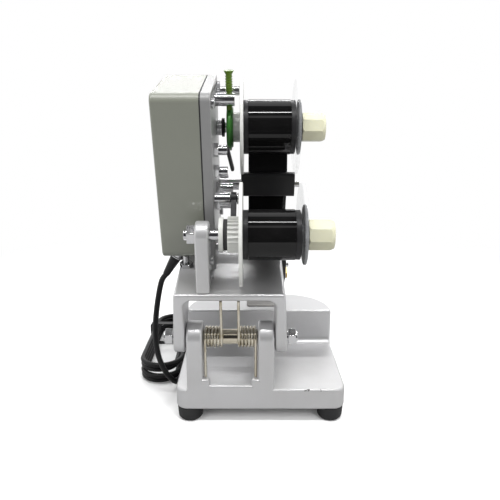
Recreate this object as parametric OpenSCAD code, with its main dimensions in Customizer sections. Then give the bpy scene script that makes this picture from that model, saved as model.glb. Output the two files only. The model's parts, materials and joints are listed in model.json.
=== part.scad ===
// Hand hot-stamp coder: a sprung arm on a cast base carries a foil drive and a heated type head.
// Millimetres, +Z up, +Y towards the operator, origin on the floor under the middle of the machine.
// Pieces of the arm are drawn with the arm pressed level, and tilted() lifts them to rest.

/* [Base] */
// Width of the cast base
base_w = 160; // [150:1:190]
// Depth of the cast base
base_d = 158; // [156:1:180]
// Thickness of the base plate
base_t = 21; // [16:1:26]
// How far the middle of the base lies to the right of the middle of the machine
base_x = 6; // [0:0.5:12]
// How far the middle of the base lies in front of the middle of the machine
base_y = 0; // [-10:0.5:10]
// Radius of the two rear corners of the base
base_r = 12; // [6:1:16]
// Height of the work table above the base plate
table_h = 38; // [30:1:42]
// Depth of the work table
table_d = 54; // [50:1:60]
// Radius of the two front corners of the base
table_r = 48; // [20:1:50]
// Radius of the fillet behind the work table
table_fillet = 8; // [3:1:12]
// Height of a rubber foot
foot_h = 14; // [8:1:16]
// Diameter of a rubber foot
foot_d = 25; // [18:1:26]
// Distance of each foot's middle from the sides of the base
foot_inset = 13; // [13:1:20]
// Thickness of the rubber work pad
pad_t = 1.6; // [1:0.1:3]

/* [Hinge] */
// Place of the middle of the hinge across the base
hinge_x = -22; // [-26:1:-18]
// Distance from the rear face of the base to the hinge axis
hinge_set = 15; // [14:1:18]
// Height of the hinge axis above the base plate
hinge_up = 47; // [42:1:54]
// Clear width between the two lugs
lug_gap = 51; // [46:1:56]
// Thickness of a lug
lug_t = 15; // [10:0.5:16]
// Radius of a lug round the hinge
lug_r = 15; // [12:0.5:15]
// Diameter of the hinge shaft
shaft_d = 10; // [8:0.5:11]
// Gap between a lug and the leg beside it
side_gap = 0.8; // [0.5:0.1:1.5]
// Wire diameter of the lift springs
wire_d = 2.6; // [2.2:0.1:3]
// Turns in each lift spring
spring_turns = 5; // [4:1:5]
// How far the springs hold the arm up, in degrees
arm_tilt = 13; // [8:1:14]

/* [Arm] */
// Thickness of a leg of the arm
leg_t = 11.5; // [10:0.5:15]
// Radius of a leg round the hinge
leg_r = 14; // [12:0.5:14]
// Height of the top of the arm above the hinge axis
deck_up = 52; // [48:1:58]
// Thickness of the arm's deck
deck_t = 6.5; // [6:0.5:10]
// Length of the deck in front of the hinge axis
deck_len = 84; // [78:1:88]
// How far the arm's sides draw in from the hinge to the deck
arm_draw = 3.5; // [0:0.5:5]

/* [Plate and box] */
// Thickness of the main plate
plate_t = 9; // [7:0.5:11]
// Depth of the main plate
plate_d = 100; // [96:1:104]
// Height of the main plate above the deck
plate_h = 162; // [150:1:175]
// Distance from the hinge axis to the rear edge of the main plate
plate_fwd = 35; // [32:1:38]
// Distance from the middle of the hinge to the left face of the main plate
plate_left = 23; // [21:0.5:25]
// Width of the control box
box_w = 41; // [36:1:46]
// Gap between the deck and the control box
box_lift = 12; // [10:1:16]
// Wall of the control box
box_wall = 2; // [1.5:0.5:3]
// Corner radius of the control box
box_r = 7; // [4:1:10]

/* [Foil drive] */
// Distance from the hinge axis to the take-up shaft
take_up_fwd = 10; // [6:1:12]
// Distance from the hinge axis to the supply shaft
supply_fwd = 107; // [100:1:110]
// Height of the supply shaft above the take-up shaft
supply_rise = 68; // [60:1:74]
// Diameter of both reel shafts
reel_shaft_d = 10; // [8:0.5:11]
// Radius of the reel flanges
flange_r = 45; // [40:0.5:46]
// Thickness of a reel flange
flange_t = 3; // [2:0.5:4]
// Gap between the take-up flange and the deck
flange_gap = 4; // [3:0.5:6]
// Width of a reel between its flanges
reel_w = 49; // [44:1:54]
// Gap between the main plate and the inner side of the reels
reel_stand = 26; // [25:0.5:28]
// Radius of the full roll on the supply reel
supply_r = 26; // [20:0.5:28]
// Radius of the roll on the take-up reel
take_up_r = 22; // [18:0.5:24]
// Width of the foil
foil_w = 40; // [30:1:40]
// Thickness of the foil band as drawn
foil_t = 0.4; // [0.3:0.1:0.6]
// Radius of a clamp knob
knob_r = 14; // [12:0.5:16]
// Length of a clamp knob
knob_len = 22; // [18:1:28]
// Radius of the green brake disc
brake_r = 22; // [18:0.5:23]

/* [Head] */
// Length of the heated block
head_len = 42; // [36:1:44]
// Depth of the heated block
head_d = 26; // [24:1:30]
// Height of the heated block
head_h = 28; // [24:1:30]
// Gap between the type and the work pad with the arm pressed level
strike_gap = 1.2; // [1.1:0.1:2]
// Number of type slugs in the holder
slug_count = 8; // [4:1:9]
// Length of the handle in front of the main plate
handle_len = 72; // [68:1:80]

/* [Cord] */
// Diameter of the mains lead
cord_d = 5.6; // [5:0.1:5.8]
// Length of the straight runs of the tied hank
hank_run = 100; // [90:1:110]

/* [Hidden] */
$fn = 64;
// Radial clearance of turning fits, and the gap kept between pieces that move past each other
fit = 0.05;
clear = 0.4;

// Heights and places on the base
base_top = foot_h + base_t;
table_top = base_top + table_h;
base_rear = base_y - base_d / 2;
base_front = base_y + base_d / 2;
table_rear = base_front - table_d;
foot_screw_r = 2.5;
foot_screw_deep = 10;
pad_size = [44, 30];
base_wall = 9;
base_skin = 8;
rib_t = 6;

// Hinge
hinge_y = base_rear + hinge_set;
hinge_z = base_top + hinge_up;
shaft_r = shaft_d / 2;
lug_in = lug_gap / 2;
lug_out = lug_in + lug_t;
leg_in = lug_out + side_gap;
leg_out = leg_in + leg_t;
lug_foot = 34;
seat_h = 10;
seat_w = 6;
sill_h = 4;
sill_d = 7;
nut_t = 7;
nut_af = 14;
shaft_end = leg_out + side_gap + nut_t + 2;
sleeve_r = shaft_r + 2;
coil_r = sleeve_r + wire_d / 2 + 0.6;

// Arm and what stands on it
deck_top = hinge_z + deck_up;
arm_rear = hinge_y - leg_r;
deck_in = 4;
deck_rear = arm_rear + deck_in;
deck_front = hinge_y + deck_len;
deck_half = leg_out - arm_draw;
arch_r = 8;
plate_x0 = hinge_x - plate_left;
box_x = plate_x0 - box_w;
plate_x = plate_x0 + plate_t;
plate_y0 = hinge_y + plate_fwd;
plate_y1 = plate_y0 + plate_d;
plate_z1 = deck_top + plate_h;
plate_foot = 12;
foot_plate_t = 6;
box_z0 = deck_top + box_lift;
screw_inset = 9;
screw_r = 2;
screw_head_r = 4;
screw_head_h = 3;

// Foil drive
take_up_y = hinge_y + take_up_fwd;
take_up_z = deck_top + flange_r + flange_gap;
supply_y = hinge_y + supply_fwd;
supply_z = take_up_z + supply_rise;
reel_x = plate_x + reel_stand;
reel_end = reel_x + reel_w;
foil_x = reel_x + (reel_w - foil_w) / 2;
hub_r = 9;
core_r = 14;
collar_t = 4;
collar_r = 26;
collar_neck_r = 13;
knob_x = reel_end + flange_t + collar_t;
hub_end = knob_x + knob_len / 3;
shaft_tip = knob_x + knob_len * 2 / 3;
bracket_t = 12;
bracket_r = 12;
bracket_x = plate_x - 3 - bracket_t;
end_nut_t = 7;
end_nut_af = 16;
end_stub = 3;
ratchet_t = 10;
ratchet_r = 16;
ratchet_teeth = 24;
felt_t = 3.5;
disc_t = 4;
reel_shaft_r = reel_shaft_d / 2;

// Brake on the supply reel
brake_t = 6;
brake_boss_t = 7;
brake_x = reel_x - flange_t - brake_boss_t - brake_t;
brake_back = 13;
brake_y = supply_y - brake_back;
screw_stem_r = 2.6;
post_r = 6;
post_z = supply_z + brake_r + post_r + 1;
brake_rim_z = supply_z + sqrt(pow(brake_r, 2) - pow(supply_y - brake_y - screw_stem_r, 2));

// Type head over the middle of the table
head_y = (table_rear + base_front) / 2;
head_x = foil_x - 1;
type_z = table_top + pad_t + strike_gap;
slug_h = 4;
holder_neck_h = 4;
holder_head_h = 4;
holder_w = 18;
holder_neck_w = 12;
block_z = type_z + slug_h + 2.4;
block_top = block_z + head_h;
insulator_t = 4;
bracket_top_t = 10;
head_top = block_top + insulator_t + bracket_top_t;
cartridge_r = 5;

// Guide bar and rods that lead the foil
bar_h = 25;
bar_t = 9;
bar_over = 3;
bar_round = 3;
rod_over = 8;
rod_shy = 2;
bar_fwd = 8;
bar_drop = 61;
bar_y = supply_y + bar_fwd;
bar_z = supply_z - bar_drop;
rod_r = 3;
head_rod_out = 8;
head_rod_down = 4;
deck_rod_out = 2;
deck_rod_up = 16;
guide_spots = [
    [head_y + head_d / 2 + head_rod_out, block_top - head_rod_down],
    [head_y - head_d / 2 - head_rod_out, block_top - head_rod_down],
    [deck_front + deck_rod_out, deck_top + deck_rod_up]
];

// Handle
handle_up = 36;
handle_z = deck_top + handle_up;
handle_seat = 13;
grip_start = 10;
grip_len = handle_len - grip_start;
rod_tip = 12;
handle_rod_r = 3.5;
handle_r = 10;

// Lift to the rest pose
module tilted() {
    translate([0, hinge_y, hinge_z])
        rotate([arm_tilt, 0, 0])
            translate([0, -hinge_y, -hinge_z])
                children();
}

function rest(p) = let (c = cos(arm_tilt), s = sin(arm_tilt), y = p.y - hinge_y, z = p.z - hinge_z)
    [p.x, hinge_y + y * c - z * s, hinge_z + y * s + z * c];

// A round bar along X
module rod(x0, x1, r, y, z) {
    translate([x0, y, z])
        rotate([0, 90, 0])
            cylinder(h = x1 - x0, r = r);
}

// A hexagon nut along X
module hex_nut(x0, t, across, y, z) {
    translate([x0, y, z])
        rotate([0, 90, 0])
            cylinder(h = t, d = across / cos(30), $fn = 6);
}

// A side outline in Y and Z, drawn out along X
module from_side(x0, t) {
    translate([x0, 0, 0])
        rotate([90, 0, 90])
            linear_extrude(t)
                children();
}

// A rear outline in X and Z, drawn out towards +Y
module from_rear(y0, t) {
    translate([0, y0 + t, 0])
        rotate([90, 0, 0])
            linear_extrude(t)
                children();
}

module round_rect(low, high, r) {
    translate([low.x + r, low.y])
        square([high.x - low.x - 2 * r, high.y - low.y]);
    translate([low.x, low.y + r])
        square([high.x - low.x, high.y - low.y - 2 * r]);
    for (x = [low.x + r, high.x - r], y = [low.y + r, high.y - r])
        translate([x, y])
            circle(r);
}

// Sweep of a round tube along points, with rings carried without twist
function unit(v) = v / norm(v);
function heading(p, i) = unit(p[min(i + 1, len(p) - 1)] - p[max(i - 1, 0)]);
function square_to(v, t) = unit(v - (v * t) * t);
function ring_starts(p, side) = [
    for (i = 0, n = square_to(side, heading(p, 0)); i < len(p); i = i + 1,
         n = i < len(p) ? square_to(n, heading(p, i)) : n) n
];

module tube(p, d, sides, side) {
    n = ring_starts(p, side);
    rings = [
        for (i = [0 : len(p) - 1], k = [0 : sides - 1])
            let (t = heading(p, i), b = cross(t, n[i]), a = 360 * k / sides)
            p[i] + d / 2 * (cos(a) * n[i] + sin(a) * b)
    ];
    last = (len(p) - 1) * sides;
    walls = [
        for (i = [0 : len(p) - 2], k = [0 : sides - 1], half = [0, 1])
            let (a = i * sides + k, b = i * sides + (k + 1) % sides)
            half == 0 ? [a, a + sides, b] : [b, a + sides, b + sides]
    ];
    near_cap = [for (k = [1 : sides - 2]) [0, k, k + 1]];
    far_cap = [for (k = [1 : sides - 2]) [last, last + k + 1, last + k]];
    polyhedron(points = rings, faces = concat(walls, near_cap, far_cap));
}

// Base casting: plate, raised table, hinge lugs and the sill that seats the springs
module base_plan(inset) {
    difference() {
        translate([base_x - base_w / 2 + inset, base_rear + inset])
            square([base_w - 2 * inset, base_d - 2 * inset]);
        for (s = [-1, 1])
            translate([base_x + s * (base_w / 2 - table_r), base_front - table_r])
                difference() {
                    translate([s > 0 ? 0 : -table_r - 1, 0])
                        square(table_r + 1);
                    circle(table_r - inset);
                }
        for (s = [-1, 1])
            translate([base_x + s * (base_w / 2 - base_r), base_rear + base_r])
                difference() {
                    translate([s > 0 ? 0 : -base_r - 1, -base_r - 1])
                        square(base_r + 1);
                    circle(base_r - inset);
                }
    }
}

// Hollow under the base plate, with a boss over each foot and two crossed ribs
module base_hollow() {
    translate([0, 0, foot_h - 1])
        linear_extrude(base_t - base_skin + 1)
            difference() {
                base_plan(base_wall);
                for (spot = foot_spots)
                    translate(spot)
                        circle(foot_d / 2);
                translate([base_x - rib_t / 2, base_rear])
                    square([rib_t, base_d]);
                translate([base_x - base_w / 2, base_y - rib_t / 2])
                    square([base_w, rib_t]);
            }
}

module lug_side() {
    translate([hinge_y, hinge_z])
        circle(lug_r);
    polygon([
        [hinge_y - hinge_set, foot_h + 1],
        [hinge_y - hinge_set, base_top],
        [hinge_y - lug_r, hinge_z],
        [hinge_y + lug_r, hinge_z],
        [hinge_y + lug_foot, base_top],
        [hinge_y + lug_foot, foot_h + 1]
    ]);
}

front_foot_in = [10, 14];
foot_spots = [
    for (sx = [-1, 1], sy = [-1, 1])
        [base_x + sx * (base_w / 2 - foot_inset - (sy > 0 ? front_foot_in.x : 0)),
            base_y + sy * (base_d / 2 - foot_inset - (sy > 0 ? front_foot_in.y : 0))]
];

module base_casting() color("silver") {
    difference() {
        union() {
            translate([0, 0, foot_h])
                linear_extrude(base_t)
                    base_plan(0);
            translate([0, 0, base_top])
                linear_extrude(table_h)
                    intersection() {
                        base_plan(0);
                        translate([base_x - base_w / 2, table_rear])
                            square([base_w, table_d]);
                    }
            from_side(base_x - base_w / 2, base_w)
                translate([table_rear - table_fillet, base_top])
                    difference() {
                        square(table_fillet);
                        translate([0, table_fillet])
                            circle(table_fillet);
                    }
            for (s = [-1, 1])
                from_side(hinge_x + s * (lug_in + lug_t / 2) - lug_t / 2, lug_t)
                    lug_side();
            translate([hinge_x - lug_in, base_rear, base_top - 1])
                cube([lug_gap, sill_d, sill_h + 1]);
            for (s = [0, 1])
                translate([hinge_x - lug_in + s * (lug_gap - seat_w), base_rear, base_top - 1])
                    cube([seat_w, sill_d, seat_h + 1]);
        }
        base_hollow();
        rod(hinge_x - lug_out - 1, hinge_x + lug_out + 1, shaft_r + fit, hinge_y, hinge_z);
        for (spot = foot_spots)
            translate([spot.x, spot.y, foot_h - 1])
                cylinder(h = foot_screw_deep + 1, r = foot_screw_r);
    }
}

module rubber_feet() color([0.08, 0.08, 0.09]) {
    for (spot = foot_spots)
        translate([spot.x, spot.y, 0])
            difference() {
                rotate_extrude()
                    difference() {
                        polygon([
                            [0, 0], [foot_d / 2 - 3, 0], [foot_d / 2 - 0.8, 3],
                            [foot_d / 2, foot_h], [0, foot_h]
                        ]);
                        square([screw_head_r + 1, screw_head_h + 2]);
                    }
                cylinder(h = foot_h + 1, r = foot_screw_r);
            }
}

module foot_screws() color("dimgray") {
    for (spot = foot_spots)
        translate([spot.x, spot.y, 0]) {
            translate([0, 0, 2])
                cylinder(h = screw_head_h, r = screw_head_r);
            translate([0, 0, 2])
                cylinder(h = foot_h - 2 + foot_screw_deep - 1, r = foot_screw_r - fit);
        }
}

module work_pad() color([0.55, 0.2, 0.16]) {
    translate([0, 0, table_top])
        linear_extrude(pad_t)
            round_rect(
                [foil_x + foil_w / 2 - pad_size.x / 2, head_y - pad_size.y / 2],
                [foil_x + foil_w / 2 + pad_size.x / 2, head_y + pad_size.y / 2], 3);
}

// Hinge shaft, its nuts, and the two coils that lift the arm
module hinge_shaft() color("gainsboro") {
    rod(hinge_x - shaft_end, hinge_x + shaft_end, shaft_r, hinge_y, hinge_z);
}

module hinge_nuts() color("gainsboro") {
    for (s = [0, 1])
        difference() {
            hex_nut(s > 0 ? hinge_x + leg_out + side_gap : hinge_x - leg_out - side_gap - nut_t,
                nut_t, nut_af, hinge_y, hinge_z);
            rod(hinge_x - shaft_end - 1, hinge_x + shaft_end + 1, shaft_r + fit, hinge_y, hinge_z);
        }
}

module spring_sleeve() color("gainsboro") {
    difference() {
        rod(hinge_x - lug_in + clear, hinge_x + lug_in - clear, sleeve_r, hinge_y, hinge_z);
        rod(hinge_x - lug_in - 1, hinge_x + lug_in + 1, shaft_r + fit, hinge_y, hinge_z);
    }
}

// The outer leg stands on its seat, the coil runs inwards, and the inner leg rises under the deck
coil_pitch = wire_d + 0.5;
coil_rings = 8;
coil_start = hinge_x - lug_in + wire_d / 2 + 0.8;
outer_leg_z = base_top + seat_h + 0.3;
inner_leg_top = rest([0, hinge_y - coil_r, deck_top - deck_t - 0.5]);
spring_path = concat(
    [for (z = [outer_leg_z, (outer_leg_z + hinge_z) / 2]) [coil_start, hinge_y - coil_r, z]],
    [for (k = [0 : coil_rings * spring_turns])
        let (turn = k / coil_rings, a = 180 - 360 * turn)
        [coil_start + coil_pitch * turn, hinge_y + coil_r * cos(a), hinge_z + coil_r * sin(a)]],
    [for (f = [0.5, 1])
        [coil_start + coil_pitch * spring_turns,
            hinge_y - coil_r + f * (inner_leg_top.y - hinge_y + coil_r),
            hinge_z + f * (inner_leg_top.z - hinge_z)]]
);
spring_gap = min([
    for (i = [0 : len(spring_path) - 1 - coil_rings], j = [i + coil_rings - 2 : 1 : len(spring_path) - 1])
        norm(spring_path[i] - spring_path[j])
]) - wire_d;
echo(spring_gap = spring_gap);

module torsion_springs() color([0.82, 0.78, 0.66]) {
    for (s = [0, 1])
        translate([s * 2 * hinge_x, 0, 0])
            mirror([s, 0, 0])
                tube(spring_path, wire_d, 6, [1, 0, 0]);
}

// Arm casting: two legs, the arch between them and the deck
module arm_casting() color("silver") tilted() {
    difference() {
        union() {
            intersection() {
                from_rear(arm_rear - 1, deck_front - arm_rear)
                    difference() {
                        polygon([
                            [hinge_x - leg_out, hinge_z - leg_r], [hinge_x + leg_out, hinge_z - leg_r],
                            [hinge_x + deck_half, deck_top], [hinge_x - deck_half, deck_top]
                        ]);
                        translate([hinge_x - leg_in, hinge_z - leg_r - 1])
                            square([2 * leg_in, deck_up + leg_r - deck_t - arch_r + 1]);
                        translate([hinge_x - leg_in + arch_r, hinge_z])
                            square([2 * (leg_in - arch_r), deck_up - deck_t]);
                        for (s = [-1, 1])
                            translate([hinge_x + s * (leg_in - arch_r), deck_top - deck_t - arch_r])
                                circle(arch_r);
                    }
                from_side(hinge_x - leg_out - 1, 2 * leg_out + 2)
                    union() {
                        translate([hinge_y, hinge_z])
                            circle(leg_r);
                        polygon([
                            [arm_rear, hinge_z], [deck_rear, deck_top], [deck_front - 20, deck_top],
                            [deck_front - 20, deck_top - deck_t], [hinge_y + leg_r, hinge_z]
                        ]);
                    }
            }
            translate([hinge_x - deck_half, deck_rear + 1, deck_top - deck_t])
                cube([2 * deck_half, deck_front - deck_rear - 1, deck_t]);
        }
        rod(hinge_x - leg_out - 1, hinge_x + leg_out + 1, shaft_r + fit, hinge_y, hinge_z);
    }
}

// Upright that carries the take-up shaft
module take_up_bracket() color("silver") tilted() {
    difference() {
        from_side(bracket_x, bracket_t)
            union() {
                translate([take_up_y, take_up_z])
                    circle(bracket_r);
                polygon([
                    [take_up_y - bracket_r, take_up_z], [take_up_y + bracket_r, take_up_z],
                    [take_up_y + bracket_r, deck_top], [deck_rear + 1, deck_top]
                ]);
            }
        rod(bracket_x - 1, bracket_x + bracket_t + 1, reel_shaft_r + fit, take_up_y, take_up_z);
    }
}

// Main plate: the upright wall, its foot on the deck and the lobe that holds the head
module plate_side() {
    round_rect([plate_y0, deck_top], [plate_y1, plate_z1], box_r);
    translate([plate_y0, deck_top])
        square([deck_front - plate_y0, box_r]);
    translate([deck_front + clear, block_top + insulator_t])
        square([plate_y1 - deck_front - clear, deck_top + box_r - block_top - insulator_t]);
}

box_screw_spots = [
    for (y = [plate_y0 + screw_inset, plate_y1 - screw_inset], z = [box_z0 + screw_inset, plate_z1 - screw_inset])
        [y, z]
];
foot_bolt_y = [plate_y0 + 12, deck_front - 12];

module main_plate() color("silver") tilted() {
    difference() {
        union() {
            from_side(plate_x0, plate_t)
                plate_side();
            translate([plate_x0 - plate_foot, plate_y0, deck_top])
                cube([plate_foot, deck_front - plate_y0, foot_plate_t]);
        }
        for (spot = box_screw_spots)
            rod(plate_x0 - 1, plate_x + 1, screw_r + fit, spot.x, spot.y);
        rod(plate_x0 + 2, plate_x + 1, reel_shaft_r + fit, supply_y, supply_z);
        rod(plate_x0 + 2, plate_x + 1, post_r / 2 + fit, brake_y, post_z);
        translate([plate_x0 + plate_t / 2, plate_y1 - handle_seat - 1, handle_z])
            rotate([-90, 0, 0])
                cylinder(h = handle_seat + 2, r = handle_rod_r + fit);
        for (y = foot_bolt_y)
            translate([plate_x0 - plate_foot / 2, y, deck_top - 1])
                cylinder(h = foot_plate_t + 2, r = screw_r + fit);
    }
}

module frame_screws() color("gainsboro") tilted() {
    for (y = foot_bolt_y)
        translate([plate_x0 - plate_foot / 2, y, deck_top]) {
            cylinder(h = foot_plate_t, r = screw_r);
            translate([0, 0, foot_plate_t])
                cylinder(h = screw_head_h, r = screw_head_r);
        }
    for (z = [deck_top + 10, deck_top + 24])
        rod(bracket_x + bracket_t, bracket_x + bracket_t + screw_head_h, screw_head_r, take_up_y, z);
}

// Control box: a drawn cover, open towards the main plate, with corner bosses for its screws
module control_box() color([0.66, 0.67, 0.6]) tilted() {
    difference() {
        union() {
            difference() {
                from_side(box_x, box_w)
                    round_rect([plate_y0, box_z0], [plate_y1, plate_z1], box_r);
                from_side(box_x + box_wall, box_w)
                    round_rect([plate_y0 + box_wall, box_z0 + box_wall],
                        [plate_y1 - box_wall, plate_z1 - box_wall], box_r - box_wall);
            }
            for (spot = box_screw_spots)
                rod(box_x + 1, plate_x0, screw_r + 3, spot.x, spot.y);
        }
        for (spot = box_screw_spots)
            rod(plate_x0 - 12, plate_x0 + 1, screw_r + fit, spot.x, spot.y);
        gland_axis()
            cylinder(h = 20, r = gland_r + fit, center = true);
        translate([control_x, plate_y1 + 1, dial_z])
            rotate([90, 0, 0])
                cylinder(h = box_wall + 2, r = dial_stem_r + fit);
        translate([control_x, plate_y1 + 1, lamp_z])
            rotate([90, 0, 0])
                cylinder(h = box_wall + 2, r = lamp_r + fit);
        translate([control_x - switch_size.x / 2, plate_y1 - box_wall - 1, switch_z - switch_size.y / 2])
            cube([switch_size.x, box_wall + 2, switch_size.y]);
    }
}

module box_screws() color("gainsboro") tilted() {
    for (spot = box_screw_spots) {
        rod(plate_x0 - 10, plate_x, screw_r, spot.x, spot.y);
        rod(plate_x, plate_x + screw_head_h, screw_head_r, spot.x, spot.y);
    }
}

// Bright post with a domed nut between the deck and the box
box_nut_d = 13;
box_nut_gap = 1.3;

module box_post() color("gainsboro") tilted() {
    translate([plate_x0 - plate_foot - box_nut_gap - box_nut_d / 2, plate_y0 + box_nut_d / 2 + 0.5, deck_top]) {
        cylinder(h = box_lift, r = 3);
        cylinder(h = 4, d = box_nut_d, $fn = 6);
    }
}

// Controls on the front of the box
control_x = box_x + box_w / 2;
dial_z = plate_z1 - 42;
dial_stem_r = 3;
dial_r = 13;
switch_z = plate_z1 - 92;
switch_size = [14, 21];
lamp_z = plate_z1 - 118;
lamp_r = 4;
rocker_gap = 0.5;

module temp_dial() color([0.1, 0.1, 0.11]) tilted() {
    translate([control_x, plate_y1, dial_z])
        rotate([-90, 0, 0]) {
            translate([0, 0, -box_wall - 4])
                cylinder(h = box_wall + 5, r = dial_stem_r);
            translate([0, 0, clear])
                difference() {
                    union() {
                        cylinder(h = 2, r = dial_r);
                        cylinder(h = 13, r1 = dial_r - 2, r2 = dial_r - 3);
                    }
                    translate([-0.6, 2, 12])
                        cube([1.2, dial_r, 2]);
                }
        }
}

module power_switch() color([0.12, 0.12, 0.13]) tilted() {
    from_side(control_x - switch_size.x / 2 + rocker_gap, switch_size.x - 2 * rocker_gap)
        intersection() {
            translate([plate_y1 - box_wall - 1, switch_z])
                circle(switch_size.y / 2 - rocker_gap);
            polygon([
                [plate_y1 - box_wall - 3, switch_z - switch_size.y / 2], [plate_y1 + 2, switch_z - switch_size.y / 2],
                [plate_y1 + 2, switch_z], [plate_y1 + 4, switch_z + switch_size.y / 2],
                [plate_y1 - box_wall - 3, switch_z + switch_size.y / 2]
            ]);
        }
}

module pilot_lamp() color([0.85, 0.15, 0.1]) tilted() {
    translate([control_x, plate_y1, lamp_z])
        rotate([-90, 0, 0]) {
            translate([0, 0, -box_wall - 6])
                cylinder(h = box_wall + 6, r = lamp_r);
            cylinder(h = 1.5, r = lamp_r + 1.5);
            intersection() {
                translate([0, 0, 1.5])
                    sphere(lamp_r);
                cylinder(h = 10, r = lamp_r + 1);
            }
        }
}

board_inset = 22;
board_h = 70;
board_t = 1.6;
board_off = 9;
board_pin_in = 6;
coil_size = [18, 30, 34];

module control_board() color([0.1, 0.35, 0.18]) tilted() {
    board_z = box_z0 + board_inset + 4;
    translate([plate_x0 - board_off, plate_y0 + board_inset, board_z])
        cube([board_t, plate_d - 2 * board_inset, board_h]);
    for (spot = [[plate_y0 + board_inset + board_pin_in, board_z + board_pin_in],
            [plate_y1 - board_inset - board_pin_in, board_z + board_h - board_pin_in]])
        rod(plate_x0 - board_off + board_t / 2, plate_x0, board_pin_in / 2, spot.x, spot.y);
    translate([plate_x0 - board_off - coil_size.x, (plate_y0 + plate_y1 - coil_size.y) / 2,
            board_z + (board_h - coil_size.z) / 2])
        cube(coil_size);
}

// Reels, drawn along X on their own shafts
module reel_shaft(x0, y, z) {
    rod(x0, shaft_tip, reel_shaft_r, y, z);
}

module bobbin(roll_r, y, z) {
    translate([reel_x - flange_t, y, z])
        rotate([90, 0, 90])
            rotate_extrude()
                union() {
                    translate([reel_shaft_r + fit, 0])
                        square([hub_r - reel_shaft_r - fit, hub_end - reel_x + flange_t]);
                    translate([hub_r - 1, flange_t])
                        square([core_r - hub_r + 1, reel_w]);
                    for (x = [flange_t, flange_t + foil_w + (reel_w - foil_w) / 2])
                        translate([core_r - 1, x])
                            square([roll_r - core_r + 0.4, (reel_w - foil_w) / 2]);
                }
}

module roll(roll_r, y, z) {
    difference() {
        rod(foil_x, foil_x + foil_w, roll_r, y, z);
        rod(foil_x - 1, foil_x + foil_w + 1, core_r + fit, y, z);
    }
}

module flange(x0, y, z) {
    difference() {
        rod(x0, x0 + flange_t, flange_r, y, z);
        rod(x0 - 1, x0 + flange_t + 1, hub_r + fit, y, z);
    }
}

module collar(y, z) {
    difference() {
        union() {
            rod(reel_end + flange_t, reel_end + flange_t + collar_t / 2, collar_r, y, z);
            rod(reel_end + flange_t, knob_x, collar_neck_r, y, z);
        }
        rod(reel_end, knob_x + 1, hub_r + fit, y, z);
    }
}

module knob(y, z) {
    difference() {
        intersection() {
            translate([knob_x, y, z])
                rotate([0, 90, 0])
                    cylinder(h = knob_len, r = knob_r, $fn = 8);
            translate([knob_x, y, z])
                rotate([90, 0, 90])
                    rotate_extrude()
                        polygon([
                            [0, 0], [knob_r - 1, 0], [knob_r, 1.5], [knob_r, knob_len - 4],
                            [knob_r - 2, knob_len], [0, knob_len]
                        ]);
        }
        rod(knob_x - 1, hub_end + clear, hub_r + fit, y, z);
        rod(knob_x - 1, shaft_tip + clear, reel_shaft_r + clear, y, z);
    }
}

module supply_shaft() color("gainsboro") tilted() {
    reel_shaft(plate_x0 + 2, supply_y, supply_z);
    difference() {
        rod(plate_x, brake_x - 2, reel_shaft_r + 2.5, supply_y, supply_z);
        rod(plate_x - 1, brake_x, reel_shaft_r - 0.5, supply_y, supply_z);
    }
}

module supply_bobbin() color([0.06, 0.06, 0.07]) tilted() bobbin(supply_r, supply_y, supply_z);
module supply_foil() color([0.05, 0.05, 0.06]) tilted() roll(supply_r, supply_y, supply_z);
module supply_outer_flange() color("whitesmoke") tilted() flange(reel_end, supply_y, supply_z);
module supply_collar() color([0.07, 0.07, 0.08]) tilted() collar(supply_y, supply_z);
module supply_knob() color([0.86, 0.85, 0.74]) tilted() knob(supply_y, supply_z);

module supply_inner_flange() color("whitesmoke") tilted() {
    flange(reel_x - flange_t, supply_y, supply_z);
    difference() {
        rod(reel_x - flange_t - brake_boss_t, reel_x - flange_t, core_r, supply_y, supply_z);
        rod(reel_x - flange_t - brake_boss_t - 1, reel_x, reel_shaft_r + fit, supply_y, supply_z);
    }
}

// Brake: a green disc on the supply reel and the green screw that presses on its rim
module brake_disc() color([0.2, 0.62, 0.16]) tilted() {
    difference() {
        union() {
            rod(brake_x + 1.5, brake_x + brake_t - 1.5, brake_r, supply_y, supply_z);
            rod(brake_x, brake_x + brake_t, brake_r - 3, supply_y, supply_z);
        }
        rod(brake_x - 1, brake_x + brake_t + 1, reel_shaft_r + fit, supply_y, supply_z);
    }
}

module brake_screw() color([0.45, 0.8, 0.14]) tilted() {
    translate([brake_x + brake_t / 2, brake_y, brake_rim_z + clear]) {
        cylinder(h = post_z + 24 - brake_rim_z, r = screw_stem_r);
        for (i = [0 : 5])
            translate([0, 0, post_z + post_r + 1.5 + i * 2.4 - brake_rim_z])
                cylinder(h = 1.2, r = screw_stem_r + 0.7);
        translate([0, 0, post_z + 21 - brake_rim_z])
            cylinder(h = 4, r1 = screw_stem_r, r2 = screw_stem_r + 2);
    }
}

module brake_post() color("gainsboro") tilted() {
    difference() {
        union() {
            rod(plate_x, brake_x + brake_t + 2, post_r, brake_y, post_z);
            rod(plate_x0 + 3, plate_x, post_r / 2, brake_y, post_z);
        }
        translate([brake_x + brake_t / 2, brake_y, post_z - post_r - 1])
            cylinder(h = 2 * post_r + 2, r = screw_stem_r + fit);
    }
}

// Take-up side: shaft, friction pack and the ratchet that stops the reel running back
module take_up_shaft() color("gainsboro") tilted() {
    reel_shaft(bracket_x - end_nut_t - end_stub, take_up_y, take_up_z);
    hex_nut(bracket_x - end_nut_t, end_nut_t, end_nut_af, take_up_y, take_up_z);
}

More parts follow.
